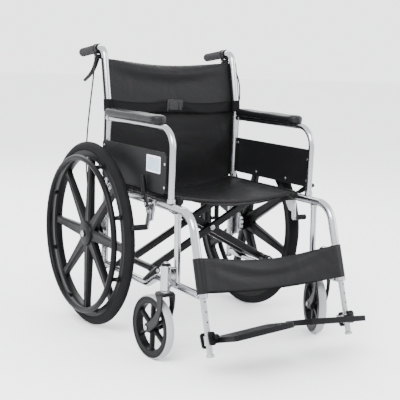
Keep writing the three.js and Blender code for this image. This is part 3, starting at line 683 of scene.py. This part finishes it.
def caster_place(name, side):
    """Where the caster stands: under its barrel, swivelled as in the picture."""
    turn = Matrix.Rotation(radians(CASTER_TURN[name]), 4, "Z")
    return Matrix.Translation((side * CASTER_X, CASTER_Y, 0)) @ turn


def caster_fork(name, side):
    """The swivelling fork, with its stem's ends and the wheel's axle bolt."""
    t = CASTER_TRAIL
    front = [(t - 9, 85), (36, 92), (16, 106), (2, 122), (-9, 143), (-16, 168), (-18, 190), (-18, 209)]
    back = [(20, 209), (9, 194), (5, 176), (7, 160), (16, 144), (30, 126), (t - 4, 111), (t + 7, 107),
            (t + 11, 98), (t + 10, 88), (t + 3, 83)]
    shapes = [(prism(front + back, "x", k * 19.3, k * 24.3), BLACK_PAINT) for k in (-1, 1)]
    shapes += [
        (prism(rounded(-24.3, 24.3, -18, 21, 10), "z", 203, 213), BLACK_PAINT),
        (turned([(12.5, 212), (13, 213.5), (12, 217.6)], (0, 0, 0), (0, 0, 1), 28), STEEL),
        (turned([(8, 297), (8, 301), (5, 303)], (0, 0, 0), (0, 0, 1), 16), STEEL),
        (rod((-27.5, t, CASTER_R), (27.5, t, CASTER_R), 4.5, 16), STEEL),
        (rod((-28.5, t, CASTER_R), (-24.5, t, CASTER_R), 8, 6), STEEL),
        (rod((24.5, t, CASTER_R), (28.5, t, CASTER_R), 8, 6), STEEL),
    ]
    side_part(name, "fork", placed(shapes, caster_place(name, side)), "caster_fork", "caster_fork",
              bevel=1.0, slot="cross_black")


def caster_rim(name, side):
    centre = Vector((0, CASTER_TRAIL, CASTER_R))
    rim = [(70, -11), (72, -12.6), (84, -12.8), (85.8, -11.5), (85.8, 11.5), (84, 12.8), (72, 12.6), (70, 11)]
    hub = [(10, -17), (16, -16.5), (18, -12), (18, 12), (16, 16.5), (10, 17)]
    shapes = [
        (turned(rim, centre, (1, 0, 0), 56, ring=True), PLASTIC),
        (turned(hub, centre, (1, 0, 0), 36), PLASTIC),
    ]
    for k in range(6):
        a = radians(90 + 60 * k)
        shapes.append((spoke(centre, a, 14, 72, 0, (13, 11, 5), (15, 14)), PLASTIC))
    side_part(name, "caster_rim", placed(shapes, caster_place(name, side)), "caster_wheel", "caster_wheel",
              sharp=34, slot="black_plastic")


def caster_tread(name, side):
    """The caster's tyre: black side walls under a grey tread."""
    centre = Vector((0, CASTER_TRAIL, CASTER_R))
    walls = [(85.9, -12), (88.5, -13), (91.5, -12.9), (91.5, 12.9), (88.5, 13), (85.9, 12)]
    tread = [(91, -12.8), (93.6, -12.2), (CASTER_R, -9.5), (CASTER_R, 9.5), (93.6, 12.2), (91, 12.8)]
    shapes = [
        (turned(walls, centre, (1, 0, 0), 56, ring=True), PLASTIC),
        (turned(tread, centre, (1, 0, 0), 56, ring=True), GREY_RUBBER),
    ]
    side_part(name, "caster_tread", placed(shapes, caster_place(name, side)), "caster_wheel", "caster_tyre",
              sharp=45, slot="caster_grey")


# ---- Foot rests ----
def foot_place(side):
    """Where a footplate stands on its tube: toes 19 degrees up and inner edge 4 degrees up."""
    tip = Matrix.Rotation(radians(-19), 4, "X") @ Matrix.Rotation(radians(side * 4), 4, "Y")
    return Matrix.Translation((side * FRAME_X, FOOT_Y, FOOT_Z)) @ tip


def leg_slider(name, side):
    """The inner leg tube with its row of buttons, and the pin that the footplate turns on."""
    x = side * FRAME_X
    foot, end = (RAIL_Z - FOOT_Z) / cos(LEG_ANGLE), (RAIL_Z - TUBE_END_Z) / cos(LEG_ANGLE)
    parts = [
        (rod(on_leg(x, LEG_LENGTH - 90), on_leg(x, end - 2), 8.5, 24), SILVER),
        (turned([(9, -14), (12.6, -13), (12.6, 13), (9, 14)], on_leg(x, foot), LEG_DOWN, 28), SILVER),
        (turned([(8.6, -9), (11.6, -8), (11.6, -1.5), (10, 0)], on_leg(x, end), LEG_DOWN, 28), STEEL),
    ]
    s = LEG_LENGTH + 8
    while s < foot - 18:
        for k in (1, -1):
            button = rod(on_leg(x, s) + LEG_AHEAD * k * 7.5, on_leg(x, s) + LEG_AHEAD * k * 8.75, 2.6, 12)
            parts.append((button, PLASTIC))
        s += 28
    front_end = ((-6, 4), (-25, 4), (-26, 7.5), (-34, 7.5), (-36, 5))
    rear_end = ((6, 4), (25, 4), (25.5, 6.5), (28.5, 6.5), (29.5, 4.5))
    for stations, look in ((front_end, PLASTIC), (rear_end, STEEL)):
        pin = tube([(-side * FOOT_PIN_X, y, FOOT_PIN_Z) for y, _ in stations], [r for _, r in stations], 20)
        parts.append((moved(pin, foot_place(side)), look))
    side_part(name, "leg_slider", parts, "leg_extension", "leg_extension", bevel=0.5, slot="frame_silver")


def foot_plate(name, side):
    """The plate with its raised edge, ribs and skirt, and the two ears that hold the pin."""
    lo, hi = sorted((-side * 17, -side * 222))
    outline = rounded(lo, hi, -114, 22, 14)
    edge_inside = rounded(lo + 6, hi - 6, -108, 16, 10)
    skirt_inside = rounded(lo + 5, hi - 5, -109, 17, 10)
    shapes = [prism(outline, "z", -6, 3), hollow_prism(outline, edge_inside, "z", 2.5, 4.6)]
    for k in range(11):
        x = lo + 18 + k * (hi - lo - 36) / 10
        shapes.append(prism(rounded(x - 3.2, x + 3.2, -98, 6, 3), "z", 2.5, 4.1))
    shapes.append(hollow_prism(outline, skirt_inside, "z", -11.5, -5.5))
    shapes.append(block(lo + 4, hi - 4, -49, -43, -11.5, -5))
    root_x0, root_x1 = sorted((-side * 9, -side * 27))
    for y, low, high in ((-21, -14, 24), (21, -22, 22)):
        shapes.append(prism(rounded(-11, 11, low, high, 9), "y", y - 3.5, y + 3.5))
        shapes.append(block(root_x0, root_x1, y - 3.5, y + 3.5, -11, 3))
    parts = placed([(shape, PLASTIC) for shape in shapes], foot_place(side))
    side_part(name, "foot_plate", parts, "footplate", "footplate", bevel=0.7, slot="black_plastic")


# ---- Wheel locks ----
def lock_plate(name, side):
    """The lock's plate on the seat rail, with the bolts that its lever and its shoe turn on."""
    outline = [(-94, 398), (-82, 394), (-70, 397), (-54, 418), (-51, 430), (-51, 461), (-103, 461),
               (-103, 430), (-98, 420)]
    parts = [(prism(outline, "x", side * 264.9, side * 268.7), STEEL)]
    for (_, y, z), end in ((LOCK_PIVOT, 284), (SHOE_PIVOT, 279)):
        parts.append((rod((side * 266, y, z), (side * end, y, z), 3.9, 16), STEEL))
        parts.append((rod((side * (end - 1), y, z), (side * (end + 2), y, z), 6, 6), STEEL))
    for y in (-94, -60):
        parts.append((rod((side * 268, y, 452), (side * 271, y, 452), 4.5, 6), STEEL))
    side_part(name, "lock_plate", parts, "frame", "lock_bracket", bevel=0.6, slot="hardware")


def lock_handle(name, side):
    """The lock's flat lever with a plastic handle, leaning as in the picture."""
    lean = Matrix.Translation(LOCK_PIVOT) @ Matrix.Rotation(radians(-LEVER_LEAN[name]), 4, "X")
    x = side * 280.5
    blade = [(-9, -9), (9, -9), (10, 0), (8, 12), (6, 40), (-6, 40), (-8, 12), (-10, 0)]
    stick = smooth_path([(x, 0, 30), (x, 0, 46), (x, -1, 62), (x, -3, 74), (x, -6, LEVER_TIP[name])], 4)
    radii = [6.6 + 2.2 * sin(pi * min(1, k / (len(stick) - 1) * 1.05)) for k in range(len(stick))]
    tip = stick[-1] + Vector((0, -1, 3))
    side_part(name, "lock_handle", placed([
        (prism(blade, "x", side * 278.6, side * 282.4), BLACK_PAINT),
        (tube([*stick, tip], [*radii, 3.5], 20), PLASTIC),
    ], lean), "lock_lever", "lock_lever", bevel=0.7, slot="black_plastic")


def lock_pad(name, side):
    """The lock's swinging arm, with the ribbed round shoe that presses on the tyre."""
    swing = Matrix.Translation(SHOE_PIVOT) @ Matrix.Rotation(radians(SHOE_LEAN[name]), 4, "X")
    arm = [(-9, 6), (-5, 9), (5, 9), (9, 6), (10, -10), (20, -50), (15, -58), (6, -57), (-8, -12)]
    profile = [(7, 271), (9, 272.5)]
    for k in range(8):
        s = 284 + k * 4.6
        profile += [(9, s), (8.1, s + 1), (8.1, s + 2.2), (9, s + 3.2)]
    profile += [(9, 321), (7.6, 322.4)]
    side_part(name, "lock_pad", placed([
        (prism(arm, "x", side * 270.7, side * 276.3), STEEL),
        (turned(profile, (0, 13, -50), (side, 0, 0), 28), PLASTIC),
    ], swing), "lock_shoe", "lock_shoe", sharp=50, slot="black_plastic")


def drum_arm(name, side):
    """The small arm on the drum brake that the cable pulls."""
    outline = [(230, 312), (262, 353), (272, 358), (279, 352), (272, 336), (250, 292), (244, 286), (236, 284),
               (227, 289)]
    side_part(name, "drum_arm", [
        (prism(outline, "x", side * 282.6, side * 286.4), STEEL),
        (rod((side * 281, 271, 352), (side * 288.4, 271, 352), 4, 12), STEEL),
    ], "brake_arm", "brake_arm", bevel=0.6, slot="hardware")


# ---- Cross brace ----
def brace(letter, end, bars, bolts):
    """One half of the scissor: bars at these Y, a seat tube at X end and a hinge tube at X minus end.
    bolts are (Y, the way the bolt points) of those that join it to the other half."""
    middle, rise = (SEAT_Z + LOWER_Z) / 2, SEAT_Z - LOWER_Z
    length = hypot(2 * CROSS_X, rise)
    tilt = Matrix.Rotation(-atan2(rise, 2 * end), 4, "Y")
    bar = prism(rounded(-7, 7, -12, 12, 3.5), "x", -length / 2 + 6, length / 2 - 6)
    collar = [(11.3, -8.5), (13.2, -8), (13.2, 8), (11.3, 8.5)]
    nut = [(9, 0), (9.5, 1), (9.5, 5), (7, 6.5)]
    plug = [(11.2, 0), (12.2, -1), (12.2, -4), (9, -8), (4, -9)]
    parts = []
    for y in bars:
        parts.append((moved(bar, Matrix.Translation((0, y, middle)) @ tilt), BLACK_PAINT))
        for k in (-1, 1):
            parts.append((turned(collar, (k * end, y, middle + k * rise / 2), (0, 1, 0), 32), BLACK_PAINT))
    parts.append((rod((-end, -26, LOWER_Z), (-end, 150, LOWER_Z), 11, 28), BLACK_PAINT))
    parts.append((rod((end, -158, SEAT_Z), (end, 225, SEAT_Z), 11, 28), BLACK_PAINT))
    parts.append((turned(plug, (end, -157, SEAT_Z), (0, 1, 0), 28), PLASTIC))
    for y, towards in bolts:
        at, out = Vector((0, y, middle)), Vector((0, towards, 0))
        parts.append((rod(at - out * 17, at + out * 22, 5, 16), STEEL))
        parts.append((turned(nut, at - out * 14.5, -out, 6), STEEL))
        parts.append((turned(nut, at + out * 16.6, out, 6), STEEL))
    build(f"brace_{letter}", parts, f"cross_{letter}", [f"cross_brace_{letter}"], bevel=0.5,
          slot="cross_black")


# ---- Cloth ----
def applied(obj):
    """Keeps the mesh that obj's modifiers make, and drops the modifiers."""
    seen = obj.evaluated_get(bpy.context.evaluated_depsgraph_get())
    made = bpy.data.meshes.new_from_object(seen)
    obj.modifiers.clear()
    obj.data = made


def settle(obj, pinned, slack, bend):
    """Lets a sheet hang between its pinned points, and keeps the mesh it comes to rest in.
    slack is the share by which it first grows, or shrinks where it is below 0."""
    group = obj.vertex_groups.new(name="held")
    group.add(pinned, 1.0, "REPLACE")
    cloth = obj.modifiers.new("Cloth", "CLOTH")
    settings = dict(quality=7, mass=0.35, tension_stiffness=40, compression_stiffness=30, shear_stiffness=12,
                    bending_stiffness=bend, air_damping=4, vertex_group_mass="held", shrink_min=-slack)
    for key, value in settings.items():
        setattr(cloth.settings, key, value)
    cloth.point_cache.frame_start = 1
    cloth.point_cache.frame_end = CLOTH_FRAMES
    scene = bpy.context.scene
    for k in range(1, CLOTH_FRAMES + 1):
        scene.frame_set(k)
    applied(obj)
    scene.frame_set(1)


def sheet(name, at, across, along, body, nodes, look, pinned, slack, thick, slot, bend=0.4):
    """A cloth of across by along cells at the points at(i, j), i and j from 0 to 1, held if pinned(i, j)."""
    grid = [(i / across, j / along) for j in range(along + 1) for i in range(across + 1)]
    points = [at(i, j) for i, j in grid]
    w = across + 1
    faces = [(j * w + i, j * w + i + 1, (j + 1) * w + i + 1, (j + 1) * w + i)
             for j in range(along) for i in range(across)]
    obj = build(name, [((points, faces), look)], None, sharp=180, slot=slot)
    settle(obj, [k for k, (i, j) in enumerate(grid) if pinned(i, j)], slack, bend)
    skin = obj.modifiers.new("skin", "SOLIDIFY")
    skin.thickness = thick * MM
    skin.offset = 0
    applied(obj)
    obj.data.shade_smooth()
    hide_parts(*nodes)
    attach(obj, body)
    return obj


def wrap(path, side, radius, start, end, thick=1.6, steps=18):
    """A strip of cloth wrapped round a tube that runs in a plane of constant X. Angles are from its rear."""
    angles = [radians(start + (end - start) * j / steps) for j in range(steps + 1)]
    around = [(a, radius) for a in angles] + [(a, radius + thick) for a in reversed(angles)]
    points = []
    for k, p in enumerate(path):
        ahead = (path[min(k + 1, len(path) - 1)] - path[max(k - 1, 0)]).normalized()
        rear = Vector((0, ahead.z, -ahead.y))
        rear = rear if rear.y > 0 else -rear
        points += [p + (rear * cos(a) + Vector((side, 0, 0)) * sin(a)) * r for a, r in around]
    return points, skin_faces(len(path) - 1, len(around))


def sides_held(margin):
    """A test for the points of a sheet that lie within margin of its two side edges."""
    return lambda i, j: i < margin or i > 1 - margin


def cane_y(z):
    """The Y of the cane's middle at height z."""
    lean = (HANDLE_Y - CANE_Y) / (HANDLE_Z - CANE_BEND_Z)
    run = 36
    if z <= CANE_BEND_Z - run:
        return CANE_Y
    if z >= CANE_BEND_Z + run:
        return CANE_Y + (z - CANE_BEND_Z) * lean
    t = (z - CANE_BEND_Z + run) / (2 * run)
    return CANE_Y + lean * run * t * t


def seat_at(i, j):
    """The seat sags between its tubes, a little more at its front, and has faint creases."""
    x = -CROSS_X + 2 * CROSS_X * i
    y = -160 + 382 * j
    sag = 15 + 5 * exp(-((y + 160) / 45) ** 2)
    to_side = 0.3 + 0.7 * abs(2 * i - 1)
    crease = 1.1 * sin(j * 19 + 2 * sin(i * 5)) * sin(pi * i) * to_side
    return Vector((x, y, 474.2 - sag * sin(pi * i) + crease))


def seat_hem(letter, end):
    """The loop of the seat cloth round one seat tube."""
    loop = [(11.3, -160), (12.7, -160), (12.9, -150), (12.9, 212), (12.6, 222), (11.3, 222)]
    return build(f"seat_hem_{letter}", [
        (turned(loop, (end, 0, SEAT_Z), (0, 1, 0), 36, ring=True), CLOTH),
        (block(end - 7, end + 7, -152, 214, 473.4, 475.6), CLOTH),
    ], f"cross_{letter}", bevel=0.6, sharp=50, slot="upholstery")


def seat_sling():
    seat = sheet("seat_cloth", seat_at, 46, 40, "seat", ["seat_sling"], CLOTH, sides_held(0.001), 0.006, 2.6,
                 "upholstery")
    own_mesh(seat)
    front = [seat_at(k / 30, 0.012) + Vector((0, 0, -2.5)) for k in range(31)]
    roll = build("seat_front_roll", [(tube(front, 5.2, 16), CLOTH)], None, slot="upholstery")
    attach(roll, "seat")
    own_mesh(roll)
    seat_hems = [roll, seat_hem("a", CROSS_X), seat_hem("b", -CROSS_X)]


def back_at(i, j):
    """The back bellies out behind the canes, and its lower edge drops in the middle."""
    x = -FRAME_X + 2 * FRAME_X * i
    z = 478 + 390 * j
    bow = sin(pi * i)
    belly = 9 * bow * (0.35 + 0.65 * sin(pi * j))
    drop = 46 * max(0, bow) ** 0.6 * (1 - j) ** 2 + 2 * bow * j
    return Vector((x, cane_y(z) + 12.6 + belly, z - drop))


def back_cloth():
    back = sheet("back_cloth", back_at, 46, 36, "right_frame", ["back_upholstery"], CLOTH, sides_held(0.001),
                 -0.004, 2.4, "upholstery", 2.5)
    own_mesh(back)
    return back


# The corners of the CAD belt's box, in the millimetres used here.
BELT_LOW, BELT_HIGH = (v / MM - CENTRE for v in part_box("back_belt"))


def belt_at(i, j):
    """The belt runs in front of the back, sags a little, and turns towards the canes at its ends."""
    x = -FRAME_X + 2 * FRAME_X * i
    z = BELT_LOW.z + (BELT_HIGH.z - BELT_LOW.z) * j
    bow = sin(pi * i)
    ahead = 13.6 * (1 - exp(-(min(i, 1 - i) * 22) ** 2)) - 2.5
    return Vector((x, cane_y(z) + 11.5 - ahead - 3 * bow, z - 6 * bow))


def belt_band():
    def held(i, j):
        return sides_held(0.03)(i, j) or abs(i - 0.5) < 0.06

    belt = sheet("belt_band", belt_at, 40, 5, "right_frame", ["back_belt"], WEBBING, held, 0.0, 2.0, "belt",
                 1.5)
    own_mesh(belt)
    return belt


def strap_at(i, j):
    """The calf strap hangs between the leg tubes, in front of their middles."""
    bow = sin(pi * i)
    on_tube = on_leg(-FRAME_X + 2 * FRAME_X * i, 226 - 100 * j) + LEG_AHEAD * 14.3
    return on_tube + Vector((0, 3 * bow, -bow * (9 + 5 * j)))


def calf_band():
    strap = sheet("calf_band", strap_at, 44, 10, "right_frame", ["calf_strap"], CLOTH, sides_held(0.03),
                  0.003, 2.4, "upholstery", 1.0)
    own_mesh(strap)
    return strap


def back_sleeve(name, side):
    cane = [Vector((side * FRAME_X, cane_y(478 + 13 * k), 478 + 13 * k)) for k in range(31)]
    return build(f"{name}_back_sleeve", [(wrap(cane, side, 11.6, -30, 118), CLOTH)], f"{name}_frame",
                 sharp=50, slot="upholstery")


def belt_loop(name, side):
    heights = (BELT_LOW.z, (BELT_LOW.z + BELT_HIGH.z) / 2, BELT_HIGH.z)
    cane = [Vector((side * FRAME_X, cane_y(z), z)) for z in heights]
    band = wrap(cane, side, 13.4, -178, 178, 1.8, 32)
    return build(f"{name}_belt_loop", [(band, WEBBING)], f"{name}_frame", sharp=50, slot="belt")


def strap_loop(name, side):
    leg = [on_leg(side * FRAME_X, 126 + 10 * k) for k in range(11)]
    band = wrap(leg, side, 13.0, -40, 186, 2.4, 30)
    return build(f"{name}_strap_loop", [(band, CLOTH)], f"{name}_frame", sharp=50, slot="upholstery")


def back_belt_and_strap():
    """The three cloths between the side frames, and what holds each of them to the tubes."""
    back, belt, strap = back_cloth(), belt_band(), calf_band()
    sleeves, belt_loops, strap_loops = [], [], []
    for name, side in SIDES:
        sleeves.append(back_sleeve(name, side))
        belt_loops.append(belt_loop(name, side))
        strap_loops.append(strap_loop(name, side))


def buckle():
    """A side-release buckle: two halves, each with a raised field on its front."""
    low, high = (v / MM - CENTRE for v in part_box("belt_buckle"))
    y, z = (low.y + high.y) / 2, (low.z + high.z) / 2
    build("buckle", [
        (prism(rounded(-31, -3, z - 22, z + 22, 7), "y", y - 5.5, y + 5.5), BUCKLE),
        (prism(rounded(-4, 31, z - 20, z + 20, 7), "y", y - 4.5, y + 4.5), BUCKLE),
        (prism(rounded(-24, 12, z - 14, z + 14, 4), "y", y - 7.4, y - 3), BUCKLE),
        (prism(rounded(15, 26, z - 15, z + 15, 3), "y", y - 6.4, y - 3), BUCKLE),
    ], "belt_buckle", ["belt_buckle"], bevel=1.0, slot="black_plastic")


# ---- The whole chair ----
SIDE_PARTS = (cane_tube, rail_and_leg, arm_bar, front_post, lower_tube, caster_housing, panel, arm_cushion,
              hand_grip, lever_clamp, hand_lever, brake_cable, mag_wheel, road_tyre, push_rim, hub_plate,
              hub_axle, caster_fork, caster_rim, caster_tread, leg_slider, foot_plate, lock_plate,
              lock_handle, lock_pad, drum_arm)
for name, side in SIDES:
    for make in SIDE_PARTS:
        make(name, side)
brace("a", CROSS_X, (-8, 130), ((1, 1), (121, -1)))
brace("b", -CROSS_X, (10, 112), ())
seat_sling()
back_belt_and_strap()
buckle()


# ---- Studio ----
def area_light(name, at, size, power, tint=(1, 1, 1)):
    lamp = bpy.data.lights.new(name, "AREA")
    lamp.shape = "RECTANGLE"
    lamp.size, lamp.size_y = size
    lamp.energy = power
    lamp.color = tint
    obj = bpy.data.objects.new(name, lamp)
    obj.location = at
    obj.rotation_euler = (Vector((0, 0, 0.45)) - Vector(at)).to_track_quat("-Z", "Y").to_euler()
    bpy.context.scene.collection.objects.link(obj)


floor_mesh = bpy.data.meshes.new("floor")
floor_mesh.from_pydata([(-30, -30, 0), (30, -30, 0), (30, 30, 0), (-30, 30, 0)], [], [(0, 1, 2, 3)])
floor_mesh.materials.append(material("studio_floor", (0.90, 0.90, 0.91), 0.8, mottle=0.004, mottle_scale=0.5))
floor = bpy.data.objects.new("floor", floor_mesh)
bpy.context.scene.collection.objects.link(floor)
world = bpy.data.worlds.new("studio")
world.use_nodes = True
world.node_tree.nodes["Background"].inputs["Color"].default_value = (0.965, 0.97, 1.0, 1)
world.node_tree.nodes["Background"].inputs["Strength"].default_value = 3.0
bpy.context.scene.world = world
area_light("key", (-2.6, -2.2, 3.2), (2.6, 2.0), 380)
area_light("fill", (3.0, -2.0, 2.2), (2.4, 2.4), 110)
area_light("back", (0.5, 3.2, 2.8), (3.0, 1.6), 110)

yaw, pitch, roll = CAMERA_ANGLES
forward = Vector((sin(yaw) * cos(pitch), cos(yaw) * cos(pitch), -sin(pitch)))
right = Vector((cos(yaw), -sin(yaw), 0))
up = right.cross(forward)
across = right * cos(roll) + up * sin(roll)
upward = up * cos(roll) - right * sin(roll)
lens = bpy.data.cameras.new("view")
lens.lens = CAMERA_LENS
camera = bpy.data.objects.new("view", lens)
camera.matrix_world = Matrix.Translation(CAMERA_AT) @ Matrix((across, upward, -forward)).transposed().to_4x4()
bpy.context.scene.collection.objects.link(camera)
bpy.context.scene.camera = camera
